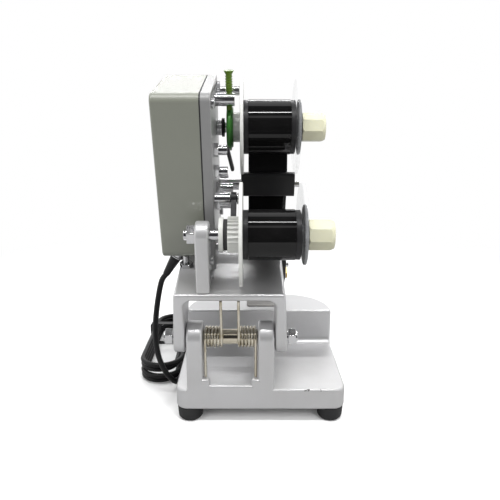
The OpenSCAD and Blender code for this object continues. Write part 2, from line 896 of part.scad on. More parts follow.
module take_up_bobbin() color([0.06, 0.06, 0.07]) tilted() bobbin(take_up_r, take_up_y, take_up_z);
module take_up_foil() color([0.05, 0.05, 0.06]) tilted() roll(take_up_r, take_up_y, take_up_z);
module take_up_inner_flange() color("whitesmoke") tilted() flange(reel_x - flange_t, take_up_y, take_up_z);
module take_up_outer_flange() color("whitesmoke") tilted() flange(reel_end, take_up_y, take_up_z);
module take_up_collar() color([0.07, 0.07, 0.08]) tilted() collar(take_up_y, take_up_z);
module take_up_knob() color([0.86, 0.85, 0.74]) tilted() knob(take_up_y, take_up_z);

ratchet_x = reel_x - flange_t - ratchet_t;
tooth_h = 2.2;

module ratchet_wheel() color("whitesmoke") tilted() {
    difference() {
        from_side(ratchet_x, ratchet_t)
            translate([take_up_y, take_up_z])
                polygon([
                    for (i = [0 : ratchet_teeth - 1], tip = [0, 1])
                        let (a = 360 * i / ratchet_teeth, r = ratchet_r - tip * tooth_h)
                        [r * cos(a), r * sin(a)]
                ]);
        rod(ratchet_x - 1, ratchet_x + ratchet_t + 1, reel_shaft_r + fit, take_up_y, take_up_z);
    }
}

module ring_disc(x0, t, r, y, z) {
    difference() {
        rod(x0, x0 + t, r, y, z);
        rod(x0 - 1, x0 + t + 1, reel_shaft_r + fit, y, z);
    }
}

module felt_washer() color([0.12, 0.12, 0.12]) tilted() {
    ring_disc(ratchet_x - felt_t, felt_t, ratchet_r - 2.5, take_up_y, take_up_z);
}

module friction_disc() color("whitesmoke") tilted() {
    ring_disc(ratchet_x - felt_t - disc_t, disc_t, ratchet_r - 1, take_up_y, take_up_z);
}

// Pawl: hangs on a pin from the main plate and rests just clear of the teeth
pawl_y = plate_y0 + 8;
pawl_z = take_up_z + 20;
pawl_pin_r = 3;
pawl_t = 5;
pawl_x = ratchet_x + 2;
pawl_reach = norm([pawl_y - take_up_y, pawl_z - take_up_z]) - ratchet_r - 1;
pawl_aim = atan2(take_up_z - pawl_z, take_up_y - pawl_y);

module feed_pawl() color([0.25, 0.25, 0.27]) tilted() {
    difference() {
        from_side(pawl_x, pawl_t)
            translate([pawl_y, pawl_z])
                rotate(pawl_aim)
                    union() {
                        circle(pawl_pin_r + 3);
                        polygon([[0, pawl_pin_r + 2], [0, -pawl_pin_r - 2], [pawl_reach, -0.8], [pawl_reach, 0.8]]);
                    }
        rod(pawl_x - 1, pawl_x + pawl_t + 1, pawl_pin_r + fit, pawl_y, pawl_z);
    }
}

module pawl_pin() color("gainsboro") tilted() {
    rod(plate_x, pawl_x - clear, pawl_pin_r + 2, pawl_y, pawl_z);
    rod(pawl_x - clear, pawl_x + pawl_t + clear, pawl_pin_r, pawl_y, pawl_z);
    rod(pawl_x + pawl_t + clear, pawl_x + pawl_t + clear + 1.5, pawl_pin_r + 2, pawl_y, pawl_z);
}

// Posts on the plate, the guide bar and the rods that lead the foil round the head
guide_post_r = 4.5;
guide_nut_t = 4;
guide_nut_af = 11;
post_back = [24, 40, 30];
post_drop = [8, 28, 50];
post_lift = [4, 6];
post_len = [22, 12, 16, 14];
post_spots = [
    [bar_y, post_z + post_lift[0], post_len[0]],
    [plate_y0 + post_back[0], supply_z - post_drop[0], post_len[1]],
    [plate_y0 + post_back[0], supply_z - post_drop[1], post_len[1]],
    [plate_y0 + post_back[1], supply_z - post_drop[2], post_len[2]],
    [plate_y0 + post_back[2], take_up_z + post_lift[1], post_len[3]]
];

module guide_posts() color("gainsboro") tilted() {
    for (spot = post_spots) {
        rod(plate_x, plate_x + spot[2], guide_post_r, spot[0], spot[1]);
        hex_nut(plate_x, guide_nut_t, guide_nut_af, spot[0], spot[1]);
    }
}

module guide_bar() color([0.07, 0.07, 0.08]) tilted() {
    difference() {
        from_side(reel_x - bar_over, reel_w + 2 * bar_over)
            round_rect([bar_y - bar_t / 2, bar_z - bar_h / 2], [bar_y + bar_t / 2, bar_z + bar_h / 2], bar_round);
        rod(reel_x - bar_over - 1, reel_end + bar_over + 1, rod_r + fit, bar_y, bar_z);
    }
}

module guide_rods() color("gainsboro") tilted() {
    rod(plate_x, reel_end + rod_over, rod_r, bar_y, bar_z);
    rod(plate_x, reel_x - bar_over - clear, 2 * rod_r, bar_y, bar_z);
    for (spot = guide_spots) {
        rod(plate_x, foil_x + foil_w + bar_over, rod_r, spot.x, spot.y);
        rod(plate_x, foil_x - rod_shy, 1.5 * rod_r, spot.x, spot.y);
    }
}

// Foil band: from the supply roll over the bar, round the head and back to the take-up roll
foil_gap = 0.4 + foil_t / 2;
front_rod = guide_spots[0];
rear_rod = guide_spots[1];
deck_rod = guide_spots[2];
lead = rod_r + foil_gap;
round_off = 0.42 * lead;
foil_z = table_top + pad_t + strike_gap / 2;
bar_face = bar_y + bar_t / 2 + foil_gap;
bar_edge = bar_h / 2 - bar_round;

// Where a straight run from a point touches a roll
function touch(middle, r, from, side) =
    let (d = from - middle, a = atan2(d.y, d.x) + side * acos(r / norm(d)))
    middle + r * [cos(a), sin(a)];

foil_path = [
    touch([supply_y, supply_z], supply_r + foil_gap, [bar_face, bar_z + bar_edge], 1),
    [bar_face, bar_z + bar_edge],
    [bar_face, bar_z - bar_edge],
    [front_rod.x + lead, front_rod.y],
    [head_y + holder_w / 2 + 3, foil_z],
    [head_y - holder_w / 2 - 3, foil_z],
    [rear_rod.x - lead, rear_rod.y],
    [deck_rod.x + lead, deck_rod.y + round_off],
    [deck_rod.x + round_off, deck_rod.y + lead],
    [deck_rod.x, deck_rod.y + lead],
    touch([take_up_y, take_up_z], take_up_r + foil_gap, [deck_rod.x, deck_rod.y + lead], -1)
];

module ink_ribbon() color([0.05, 0.05, 0.06]) tilted() {
    from_side(foil_x, foil_w)
        for (i = [0 : len(foil_path) - 2])
            let (a = foil_path[i], b = foil_path[i + 1], run = b - a)
            translate(a)
                rotate(atan2(run.y, run.x))
                    translate([-foil_t / 2, -foil_t / 2])
                        square([norm(run) + foil_t, foil_t]);
}

// Type head: bracket from the plate, insulator, heated block with its cartridge, and the type holder
module head_bracket() color("silver") tilted() {
    translate([plate_x, head_y - head_d / 2 + 2, block_top + insulator_t])
        cube([head_x + head_len - plate_x, head_d - 4, bracket_top_t]);
}

module head_insulator() color([0.45, 0.3, 0.18]) tilted() {
    translate([head_x, head_y - head_d / 2, block_top])
        cube([head_len, head_d, insulator_t]);
}

module holder_section(grow) {
    translate([head_y - holder_neck_w / 2 - grow, type_z + slug_h])
        square([holder_neck_w + 2 * grow, holder_neck_h + holder_head_h / 2]);
    translate([head_y - holder_w / 2 - grow, type_z + slug_h + holder_neck_h - grow])
        square([holder_w + 2 * grow, holder_head_h + 2 * grow]);
}

module heater_block() color([0.78, 0.6, 0.3]) tilted() {
    difference() {
        translate([head_x, head_y - head_d / 2, block_z])
            cube([head_len, head_d, head_h]);
        from_side(head_x + 2, head_len)
            holder_section(clear);
        rod(head_x - 1, head_x + head_len - 3, cartridge_r + fit, head_y, block_top - cartridge_r - 4);
    }
}

module heater_cartridge() color("gainsboro") tilted() {
    rod(head_x - 5, head_x + head_len - 3.5, cartridge_r, head_y, block_top - cartridge_r - 4);
}

module type_holder() color([0.72, 0.56, 0.28]) tilted() {
    from_side(head_x + 2 + clear, head_len)
        holder_section(0);
}

module type_slugs() color([0.8, 0.66, 0.36]) tilted() {
    pitch = (foil_w - 6) / slug_count;
    for (i = [0 : slug_count - 1])
        translate([foil_x + 3 + i * pitch + 0.2, head_y - 3.5, type_z])
            cube([pitch - 0.4, 7, slug_h]);
}

// Handle in front of the plate
module handle_rod() color("gainsboro") tilted() {
    translate([plate_x0 + plate_t / 2, plate_y1 - handle_seat, handle_z])
        rotate([-90, 0, 0])
            cylinder(h = handle_seat + handle_len - rod_tip, r = handle_rod_r);
}

module handle_grip() color([0.07, 0.07, 0.08]) tilted() {
    translate([plate_x0 + plate_t / 2, plate_y1 + grip_start, handle_z])
        rotate([-90, 0, 0])
            difference() {
                rotate_extrude()
                    polygon([
                        [0, 0], [0.7 * handle_r, 0], [0.8 * handle_r, 0.05 * grip_len],
                        [0.7 * handle_r, 0.22 * grip_len], [handle_r, 0.55 * grip_len],
                        [1.1 * handle_r, 0.8 * grip_len], [0.9 * handle_r, 0.95 * grip_len],
                        [0.5 * handle_r, grip_len], [0, grip_len]
                    ]);
                translate([0, 0, -1])
                    cylinder(h = grip_len - rod_tip + 2, r = handle_rod_r + fit);
            }
}

// Mains lead: gland and strain relief under the box, the free stretch and the tied hank on the floor
gland_r = 6;
gland_lean = 30;
gland_spot = [box_x + 14, plate_y0 + 14, box_z0];
gland_t = 5;
relief_len = 24;
exit_dir = [-sin(gland_lean), 0, -cos(gland_lean)];
exit_level = gland_spot + (gland_t + relief_len) * exit_dir;
cord_gap = 0.4;
cord_exit = rest(exit_level + cord_gap * exit_dir);
cord_run = rest(exit_level + 2 * cord_d * exit_dir);

module gland_axis() {
    translate(gland_spot)
        rotate([0, gland_lean, 0])
            children();
}

module cord_gland() color("gainsboro") tilted() {
    gland_axis() {
        translate([0, 0, -gland_t])
            cylinder(h = gland_t + 9, r = gland_r);
        translate([0, 0, -gland_t])
            cylinder(h = 1, r = gland_r + 1);
    }
}

module strain_relief() color([0.06, 0.06, 0.07]) tilted() {
    gland_axis()
        translate([0, 0, -gland_t - relief_len])
            cylinder(h = relief_len, r1 = cord_d / 2 + 0.5, r2 = gland_r - 0.5);
}

// The hank: four loops in four layers, drawn in and out by a step, each climb along a straight run
hank_mid = [-102, 64];
plug_size = [30, 14, 26];
hank_step = cord_d + 0.7;
hank_rise = cord_d + 0.7;
fold_in = 3 * cord_d;
hank_loops = 4;
loop_rings = 24;
hank_start_y = hank_mid.y - hank_run / 2 + 4;
tie_t = 1.2;
hank_z = tie_t + cord_d / 2;

function layer(u) = floor(u);
function fold_r(u) = let (f = u - floor(u)) fold_in + hank_step * (layer(u) % 2 == 0 ? 1 - f : f);
function hank_point(u) = let (a = 360 * u, r = fold_r(u))
    [hank_mid.x + r * cos(a),
        hank_mid.y + (sin(a) > 0 ? 1 : -1) * hank_run / 2 + r * sin(a),
        hank_z + hank_rise * layer(u)];

hank_lead_x = hank_mid.x + fold_in + hank_step;
hank_top_z = hank_z + hank_rise * (hank_loops - 1);
plug_lift = cord_d / 2 + tie_t + 0.7 + plug_size.y / 2;
hank_path = concat(
    [[hank_lead_x, hank_start_y, hank_z], [hank_lead_x, hank_start_y + 2 * cord_d, hank_z]],
    [for (k = [0 : hank_loops * loop_rings - 1]) hank_point((k + 0.5) / loop_rings)],
    [[hank_lead_x, hank_start_y + 10, hank_top_z + 2],
        [hank_lead_x, hank_start_y + 30, hank_top_z + plug_lift - 2],
        [hank_lead_x, hank_start_y + 36, hank_top_z + plug_lift],
        [hank_lead_x, hank_start_y + 36 + cord_d, hank_top_z + plug_lift]]
);
far_apart = 20;
hank_gap = min([
    for (i = [0 : len(hank_path) - 2], j = [i + far_apart : 1 : len(hank_path) - 1])
        norm(hank_path[i] - hank_path[j])
]) - cord_d;
echo(hank_gap = hank_gap);

// Free stretch from the strain relief to the hank, through points chosen by hand
cord_mid = [
    [-97, -25, 97], [-99, -29, 73], [-97, -33, 50], [-91, -32, 30], [-84, -22, 13], [-80, -8, 5]
];
cord_knots = concat([cord_exit, cord_run], cord_mid,
    [[hank_lead_x, hank_start_y - 2 * cord_d, hank_z], [hank_lead_x, hank_start_y - cord_gap, hank_z]]);
function halfway(p, i) = let (b = p[i], c = p[i + 1], a = i > 0 ? p[i - 1] : b,
    d = i + 2 < len(p) ? p[i + 2] : c) (9 * (b + c) - a - d) / 16;
cord_path = concat(
    [cord_exit],
    [for (i = [1 : len(cord_knots) - 3], half = [0, 1]) half == 0 ? cord_knots[i] : halfway(cord_knots, i)],
    [for (i = [2, 1]) cord_knots[len(cord_knots) - i]]
);

module power_cord() color([0.05, 0.05, 0.05]) tube(cord_path, cord_d, 8, [1, 0, 0]);
module cord_hank() color([0.05, 0.05, 0.05]) tube(hank_path, cord_d, 6, [1, 0, 0]);

module cord_tie() color([0.1, 0.1, 0.1]) {
    half = fold_in + hank_step + cord_d / 2 + 0.4;
    top = hank_top_z + cord_d / 2 + 0.4;
    difference() {
        from_rear(hank_mid.y + 30, 8)
            round_rect([hank_mid.x - half - tie_t, 0], [hank_mid.x + half + tie_t, top + tie_t], 3);
        from_rear(hank_mid.y + 29, 10)
            round_rect([hank_mid.x - half, tie_t - 0.3], [hank_mid.x + half, top], 2);
    }
}

module cord_plug() color([0.05, 0.05, 0.05]) {
    translate([hank_lead_x, hank_start_y + 36 + cord_d, hank_top_z + plug_lift])
        rotate([-90, 0, 0]) {
            cylinder(h = 16, r1 = cord_d / 2 + 1, r2 = 6);
            translate([0, 0, 16])
                linear_extrude(plug_size.z)
                    round_rect(-[plug_size.x, plug_size.y] / 2, [plug_size.x, plug_size.y] / 2, 5);
            for (s = [-1, 1])
                translate([s * 9.5, 0, 16 + plug_size.z])
                    cylinder(h = 19, r = 2.4);
        }
}

base_casting();
rubber_feet();
foot_screws();
work_pad();
hinge_shaft();
hinge_nuts();
spring_sleeve();
torsion_springs();
arm_casting();
take_up_bracket();
main_plate();
frame_screws();
control_box();
box_screws();
box_post();
temp_dial();
power_switch();
pilot_lamp();
control_board();
supply_shaft();
supply_bobbin();
supply_foil();
supply_inner_flange();
supply_outer_flange();
supply_collar();
supply_knob();
brake_disc();
brake_screw();
brake_post();
take_up_shaft();
take_up_bobbin();
take_up_foil();
take_up_inner_flange();
take_up_outer_flange();
take_up_collar();
take_up_knob();
ratchet_wheel();
felt_washer();
friction_disc();
feed_pawl();
pawl_pin();
guide_posts();
guide_bar();
guide_rods();
ink_ribbon();
head_bracket();
head_insulator();
heater_block();
heater_cartridge();
type_holder();
type_slugs();
handle_rod();
handle_grip();
cord_gland();
strain_relief();
power_cord();
cord_hank();
cord_tie();
cord_plug();
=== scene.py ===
import json
import math

import bmesh
import bpy
from mathutils import Matrix, Vector


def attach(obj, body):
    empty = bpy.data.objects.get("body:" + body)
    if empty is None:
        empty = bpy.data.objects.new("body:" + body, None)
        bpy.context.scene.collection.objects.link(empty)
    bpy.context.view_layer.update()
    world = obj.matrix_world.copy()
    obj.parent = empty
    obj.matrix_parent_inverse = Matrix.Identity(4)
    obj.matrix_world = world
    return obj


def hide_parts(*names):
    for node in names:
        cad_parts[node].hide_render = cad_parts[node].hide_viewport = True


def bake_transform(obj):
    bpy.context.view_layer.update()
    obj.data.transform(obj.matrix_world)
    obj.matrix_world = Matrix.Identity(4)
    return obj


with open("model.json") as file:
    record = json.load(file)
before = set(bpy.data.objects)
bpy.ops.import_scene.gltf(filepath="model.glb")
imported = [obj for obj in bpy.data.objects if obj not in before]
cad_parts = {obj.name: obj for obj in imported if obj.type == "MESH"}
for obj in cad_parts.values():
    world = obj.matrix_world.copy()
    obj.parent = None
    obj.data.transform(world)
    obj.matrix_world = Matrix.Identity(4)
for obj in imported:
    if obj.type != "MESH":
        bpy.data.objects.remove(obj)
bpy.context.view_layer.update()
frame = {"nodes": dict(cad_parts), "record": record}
scene = bpy.context.scene
scene.view_settings.view_transform = "Standard"
mm = 0.001
bodyOf = {node: body for body, nodes in frame["record"]["behaviour"]["bodies"].items() for node in nodes}
print("frame loaded,", len(frame["nodes"]), "nodes")

# the arm's hinge, about which everything on the arm is tilted at rest
hinge = {"x": -22 * mm, "y": -64 * mm, "z": 82 * mm, "tilt": math.radians(13)}
tiltArm = (Matrix.Translation((0, hinge["y"], hinge["z"])) @ Matrix.Rotation(hinge["tilt"], 4, "X")
           @ Matrix.Translation((0, -hinge["y"], -hinge["z"])))


def onArm(x, y, z):
    # a place measured in millimetres with the arm pressed level
    return tiltArm @ Vector((x * mm, y * mm, z * mm))


# where the two reels turn, as Y and Z with the arm level
supplySpot = (43, 251)
takeUpSpot = (-54, 183)
supplyAxis = onArm(0, *supplySpot)
takeUpAxis = onArm(0, *takeUpSpot)


# shader maths written as Python
class Sock:
    def __init__(self, tree, out):
        self.tree = tree
        self.out = out

    def math(self, operation, first, second=0.0):
        made = self.tree.nodes.new("ShaderNodeMath")
        made.operation = operation
        for socket, value in zip(made.inputs, (first, second)):
            feed(self.tree, socket, value)
        return Sock(self.tree, made.outputs[0])

    def __add__(self, other):
        return self.math("ADD", self, other)

    def __radd__(self, other):
        return self.math("ADD", other, self)

    def __sub__(self, other):
        return self.math("SUBTRACT", self, other)

    def __rsub__(self, other):
        return self.math("SUBTRACT", other, self)

    def __mul__(self, other):
        return self.math("MULTIPLY", self, other)

    def __gt__(self, other):
        return self.math("GREATER_THAN", self, other)

    def sine(self):
        return self.math("SINE", self)

    def size(self):
        return self.math("ABSOLUTE", self)

    def ease(self, low, high):
        made = self.tree.nodes.new("ShaderNodeMapRange")
        made.interpolation_type = "SMOOTHSTEP"
        feed(self.tree, made.inputs["Value"], self)
        made.inputs["From Min"].default_value = low
        made.inputs["From Max"].default_value = high
        return Sock(self.tree, made.outputs[0])


def feed(tree, socket, value):
    if isinstance(value, Sock):
        tree.links.new(value.out, socket)
    else:
        socket.default_value = value


class Paint:
    def __init__(self, name):
        self.material = bpy.data.materials.new(name)
        self.material.use_nodes = True
        self.tree = self.material.node_tree
        self.tree.nodes.clear()
        self.place = self.node("ShaderNodeTexCoord", out="Object")

    def node(self, kind, settings=None, inputs=None, out=0):
        made = self.tree.nodes.new(kind)
        for key, value in (settings or {}).items():
            setattr(made, key, value)
        for key, value in (inputs or {}).items():
            feed(self.tree, made.inputs[key], value)
        return Sock(self.tree, made.outputs[out])

    def noise(self, scale, detail=3.0, rough=0.5, stretch=None):
        where = self.place
        if stretch:
            where = self.node("ShaderNodeVectorMath", {"operation": "MULTIPLY"}, {0: self.place, 1: stretch})
        return self.node("ShaderNodeTexNoise", None,
                         {"Vector": where, "Scale": scale, "Detail": detail, "Roughness": rough})

    def mix(self, share, first, second):
        return self.node("ShaderNodeMix", {"data_type": "RGBA"}, {0: share, 6: first, 7: second}, out=2)

    def part(self, axis):
        return self.node("ShaderNodeSeparateXYZ", None, {0: self.place}, out=axis)

    def radius(self, centre, across):
        moved = self.node("ShaderNodeVectorMath", {"operation": "SUBTRACT"}, {0: self.place, 1: centre})
        flat = self.node("ShaderNodeVectorMath", {"operation": "MULTIPLY"}, {0: moved, 1: across})
        return self.node("ShaderNodeVectorMath", {"operation": "LENGTH"}, {0: flat}, out="Value")

    def bump(self, height, strength, distance):
        return self.node("ShaderNodeBump", None,
                         {"Height": height, "Strength": strength, "Distance": distance})

    def surface(self, colour, rough, normal=None, **fixed):
        shader = self.tree.nodes.new("ShaderNodeBsdfPrincipled")
        feed(self.tree, shader.inputs["Base Color"], colour)
        feed(self.tree, shader.inputs["Roughness"], rough)
        if normal:
            feed(self.tree, shader.inputs["Normal"], normal)
        for key, value in fixed.items():
            feed(self.tree, shader.inputs[key.replace("_", " ")], value)
        last = self.tree.nodes.new("ShaderNodeOutputMaterial")
        self.tree.links.new(shader.outputs[0], last.inputs[0])
        return self.material


def solid(r, g, b):
    return (r, g, b, 1.0)


# silver-grey paint over a sand-cast skin, with small chips on the base's rear top edge beside the lugs
castLook = {
    "paint": solid(0.60, 0.60, 0.61), "dust": solid(0.50, 0.495, 0.49), "chip": solid(0.09, 0.085, 0.08),
    "grain": 900.0, "peel": 260.0, "edgeY": -0.079, "edgeZ": 0.035, "edgeReach": (0.0017, 0.0027),
    "clearOfLugs": 0.021,
}


def castPaint():
    p = Paint("castPaint")
    cloud = p.noise(14.0, 4.0).ease(0.35, 0.75)
    speck = p.noise(castLook["grain"], 2.0)
    peel = p.noise(castLook["peel"], 3.0)
    colour = p.mix(cloud * 0.55 + speck * 0.18, castLook["paint"], castLook["dust"])
    offY = (p.part(1) - castLook["edgeY"]).size()
    offZ = (p.part(2) - castLook["edgeZ"]).size()
    nearEdge = 1 - (offY + offZ).ease(*castLook["edgeReach"])
    worn = p.noise(21.0, 2.0).ease(0.50, 0.58) * (p.part(0) > castLook["clearOfLugs"])
    chips = (nearEdge * worn * p.noise(300.0, 3.0, 0.7)).ease(0.54, 0.58)
    colour = p.mix(chips, colour, castLook["chip"])
    rough = 0.28 + speck * 0.12 + cloud * 0.10
    normal = p.bump(speck * 0.5 + peel, 0.22, 0.0004)
    return p.surface(colour, rough, normal, Metallic=0.66)


# stove enamel with a fine orange-peel skin: grey-green on the box, plain grey on the plate
boxLook = {"enamel": solid(0.145, 0.152, 0.122), "shade": solid(0.125, 0.131, 0.105), "peel": 520.0}
plateLook = {"enamel": solid(0.16, 0.16, 0.16), "shade": solid(0.13, 0.13, 0.13), "peel": 520.0}


def stoveEnamel(name, look):
    p = Paint(name)
    cloud = p.noise(9.0, 3.0).ease(0.3, 0.75)
    peel = p.noise(look["peel"], 2.0)
    dust = p.noise(1500.0, 1.0)
    colour = p.mix(cloud * 0.6 + dust * 0.15, look["enamel"], look["shade"])
    return p.surface(colour, 0.30 + peel * 0.12, p.bump(peel, 0.12, 0.0004),
                     Coat_Weight=1.0, Coat_Roughness=0.50, Coat_IOR=1.8)


# bright plating with faint turning lines along X
def brightPlate(name, colour, rough, along=(1.0, 0.04, 0.04)):
    p = Paint(name)
    lines = p.noise(2600.0, 2.0, 0.6, along)
    smear = p.noise(60.0, 3.0)
    tint = p.mix(smear.ease(0.35, 0.8) * 0.5, colour, tuple(c * 0.72 for c in colour[:3]) + (1.0,))
    return p.surface(tint, rough + smear * 0.10 + lines * 0.06, p.bump(lines, 0.08, 0.0002), Metallic=1.0)


# black hot-stamp foil: a glossy web with faint tension lines round the roll
def blackFoil(name, centre=None):
    p = Paint(name)
    tension = p.noise(220.0, 3.0, 0.5, (1.0, 0.06, 0.06))
    haze = p.noise(34.0, 3.0)
    colour = p.mix(haze.ease(0.3, 0.8), solid(0.0035, 0.0035, 0.0035), solid(0.007, 0.0067, 0.007))
    height = tension
    if centre:
        turns = (p.radius(centre, (0.0, 1.0, 1.0)) * 14000.0).sine()
        height = tension + turns * 0.25
    return p.surface(colour, 0.035 + haze * 0.04, p.bump(height, 0.03, 0.0004), Specular_IOR_Level=0.35)


# moulded plastic: even colour with mould grain and slight yellowing in patches
def moulded(name, colour, aged, rough, grain=1100.0, relief=0.10, **fixed):
    p = Paint(name)
    fine = p.noise(grain, 2.0)
    patch = p.noise(38.0, 4.0).ease(0.35, 0.8)
    return p.surface(p.mix(patch * 0.7 + fine * 0.1, colour, aged), rough + fine * 0.10 + patch * 0.05,
                     p.bump(fine, relief, 0.0003), **fixed)


# milky reel flange with turning rings about its own axis
def milkyFlange(name, centre):
    p = Paint(name)
    reach = p.radius(centre, (0.0, 1.0, 1.0))
    rings = (reach * 9000.0).sine()
    scuff = p.noise(90.0, 5.0, 0.6).ease(0.45, 0.8)
    colour = p.mix(scuff * 0.6, solid(0.62, 0.625, 0.60), solid(0.50, 0.51, 0.475))
    return p.surface(colour, 0.30 + scuff * 0.22, p.bump(rings * 0.3 + scuff, 0.06, 0.0003),
                     Transmission_Weight=0.12, Subsurface_Weight=0.15,
                     Subsurface_Radius=(0.004, 0.004, 0.0035))


# clear outer flange, hazed a little by handling
def clearFlange(name, centre):
    p = Paint(name)
    rings = (p.radius(centre, (0.0, 1.0, 1.0)) * 9000.0).sine()
    scuff = p.noise(110.0, 5.0, 0.6).ease(0.5, 0.8)
    colour = p.mix(scuff * 0.5, solid(0.80, 0.82, 0.84), solid(0.66, 0.68, 0.70))
    return p.surface(colour, 0.06 + scuff * 0.14, p.bump(rings * 0.2 + scuff, 0.04, 0.0002),
                     Alpha=0.13 + scuff * 0.10)


# coil wire: drawn steel with a brassy passivation
def coilWire():
    p = Paint("coilWire")
    drawn = p.noise(420.0, 3.0)
    stain = p.noise(70.0, 3.0).ease(0.4, 0.75)
    colour = p.mix(stain, solid(0.78, 0.73, 0.62), solid(0.46, 0.40, 0.28))
    return p.surface(colour, 0.05 + drawn * 0.10, p.bump(drawn, 0.05, 0.0002), Metallic=1.0)


# woven felt of the friction pack
def blackFelt():
    p = Paint("blackFelt")
    fibre = p.noise(1800.0, 4.0, 0.8)
    return p.surface(p.mix(fibre, solid(0.012, 0.012, 0.012), solid(0.06, 0.06, 0.06)), 0.9,
                     p.bump(fibre, 0.6, 0.0008))


# printed circuit board: green lacquer with a grid of tracks
def boardLacquer():
    p = Paint("boardLacquer")
    tracks = ((p.part(1) * 1600.0).sine() * (p.part(2) * 1600.0).sine()).ease(0.2, 0.5)
    return p.surface(p.mix(tracks, solid(0.03, 0.16, 0.06), solid(0.08, 0.28, 0.12)), 0.35,
                     p.bump(tracks, 0.2, 0.0002))


cast = castPaint()
enamel = stoveEnamel("boxEnamel", boxLook)
plateEnamel = stoveEnamel("plateEnamel", plateLook)
plate = brightPlate("brightPlate", solid(0.70, 0.70, 0.71), 0.09)
screwPlate = brightPlate("screwPlate", solid(0.55, 0.55, 0.56), 0.24, (0.3, 0.3, 0.3))
sleevePlate = brightPlate("sleevePlate", solid(0.72, 0.66, 0.53), 0.06)
wire = coilWire()
webFoil = blackFoil("webFoil")
supplyWound = blackFoil("supplyWound", supplyAxis)
takeUpWound = blackFoil("takeUpWound", takeUpAxis)
supplyMilky = milkyFlange("supplyMilky", supplyAxis)
takeUpMilky = milkyFlange("takeUpMilky", takeUpAxis)
supplyClear = clearFlange("supplyClear", supplyAxis)
takeUpClear = clearFlange("takeUpClear", takeUpAxis)
black = moulded("blackMoulded", solid(0.009, 0.009, 0.010), solid(0.016, 0.0155, 0.016), 0.34,
                Specular_IOR_Level=0.4)
cream = moulded("creamNylon", solid(0.53, 0.525, 0.40), solid(0.46, 0.445, 0.315), 0.38, 700.0, 0.08,
                Subsurface_Weight=0.12, Subsurface_Radius=(0.004, 0.0035, 0.002))
green = moulded("greenMoulded", solid(0.048, 0.22, 0.033), solid(0.034, 0.16, 0.024), 0.24, 900.0, 0.06)
lime = moulded("limeMoulded", solid(0.078, 0.145, 0.009), solid(0.054, 0.108, 0.008), 0.26, 900.0, 0.06)
rubber = moulded("blackRubber", solid(0.010, 0.010, 0.011), solid(0.022, 0.022, 0.022), 0.55, 1400.0, 0.25)
padRubber = moulded("padRubber", solid(0.34, 0.33, 0.32), solid(0.28, 0.27, 0.26), 0.6, 1300.0, 0.2)
mica = moulded("micaBoard", solid(0.40, 0.385, 0.35), solid(0.33, 0.31, 0.28), 0.45, 600.0, 0.15)
lens = moulded("lampLens", solid(0.62, 0.02, 0.012), solid(0.50, 0.015, 0.01), 0.10, 900.0, 0.03,
               Transmission_Weight=0.35)
brass = brightPlate("brassMilled", solid(0.72, 0.52, 0.22), 0.26, (0.05, 1.0, 1.0))
milled = brightPlate("milledHead", solid(0.50, 0.50, 0.51), 0.34, (0.05, 1.0, 1.0))
felt = blackFelt()
lacquer = boardLacquer()
sheath = moulded("leadSheath", solid(0.005, 0.005, 0.0055), solid(0.010, 0.010, 0.0105), 0.30, 1300.0, 0.12,
                 Specular_IOR_Level=0.3)
print("finishes made")


def show(name, mesh, paint):
    piece = bpy.data.objects.new(name, mesh)
    mesh.materials.clear()
    mesh.materials.append(paint)
    scene.collection.objects.link(piece)
    return piece


# each CAD piece gets a merged copy with rounded edges:
# its finish, the edge radius in millimetres and the rings across the edge
dressing = {
    "base_casting": (cast, 2.4, 4), "arm_casting": (cast, 2.4, 5), "take_up_bracket": (cast, 2.0, 4),
    "main_plate": (plateEnamel, 0.9, 3), "head_bracket": (cast, 0.8, 2), "control_box": (enamel, 2.0, 4),
    "rubber_feet": (rubber, 0.9, 3), "work_pad": (padRubber, 0.5, 2), "foot_screws": (screwPlate, 0.3, 2),
    "hinge_shaft": (plate, 0.8, 2), "hinge_nuts": (plate, 0.7, 2), "spring_sleeve": (sleevePlate, 0.5, 2),
    "frame_screws": (screwPlate, 0.6, 2), "box_screws": (screwPlate, 0.6, 2), "box_post": (plate, 0.8, 3),
    "temp_dial": (black, 0.5, 2), "power_switch": (black, 0.6, 2), "pilot_lamp": (lens, 0.4, 2),
    "control_board": (lacquer, 0.2, 1), "supply_shaft": (plate, 0.6, 2), "supply_bobbin": (black, 0.3, 2),
    "supply_foil": (supplyWound, 0.2, 2), "supply_inner_flange": (supplyMilky, 0.7, 3),
    "supply_outer_flange": (supplyClear, 0.7, 3), "supply_collar": (black, 0.5, 2),
    "supply_knob": (cream, 0.8, 3), "brake_disc": (green, 0.7, 3), "brake_screw": (lime, 0.12, 2),
    "brake_post": (plate, 0.5, 2), "take_up_shaft": (plate, 0.6, 2), "take_up_bobbin": (black, 0.3, 2),
    "take_up_foil": (takeUpWound, 0.2, 2), "take_up_inner_flange": (takeUpMilky, 0.7, 3),
    "take_up_outer_flange": (takeUpClear, 0.7, 3), "take_up_collar": (black, 0.5, 2),
    "take_up_knob": (cream, 0.8, 3), "ratchet_wheel": (takeUpMilky, 0.3, 2), "felt_washer": (felt, 0.4, 2),
    "friction_disc": (takeUpMilky, 0.7, 3), "feed_pawl": (black, 0.4, 2),
    "pawl_pin": (plate, 0.4, 2), "guide_posts": (plate, 0.6, 2), "guide_bar": (black, 0.6, 2),
    "guide_rods": (plate, 0.4, 2), "ink_ribbon": (webFoil, 0.0, 1), "head_insulator": (mica, 0.4, 2),
    "heater_block": (milled, 0.5, 2), "heater_cartridge": (screwPlate, 0.4, 2),
    "type_holder": (brass, 0.4, 2), "type_slugs": (brass, 0.2, 1), "handle_rod": (plate, 0.4, 2),
    "handle_grip": (black, 0.8, 3),
    "cord_gland": (plate, 0.3, 2), "strain_relief": (sheath, 0.4, 2), "cord_tie": (black, 0.3, 2),
    "cord_plug": (sheath, 1.2, 3),
}
# how far apart points may lie, in millimetres, and still be welded
weld = 0.003
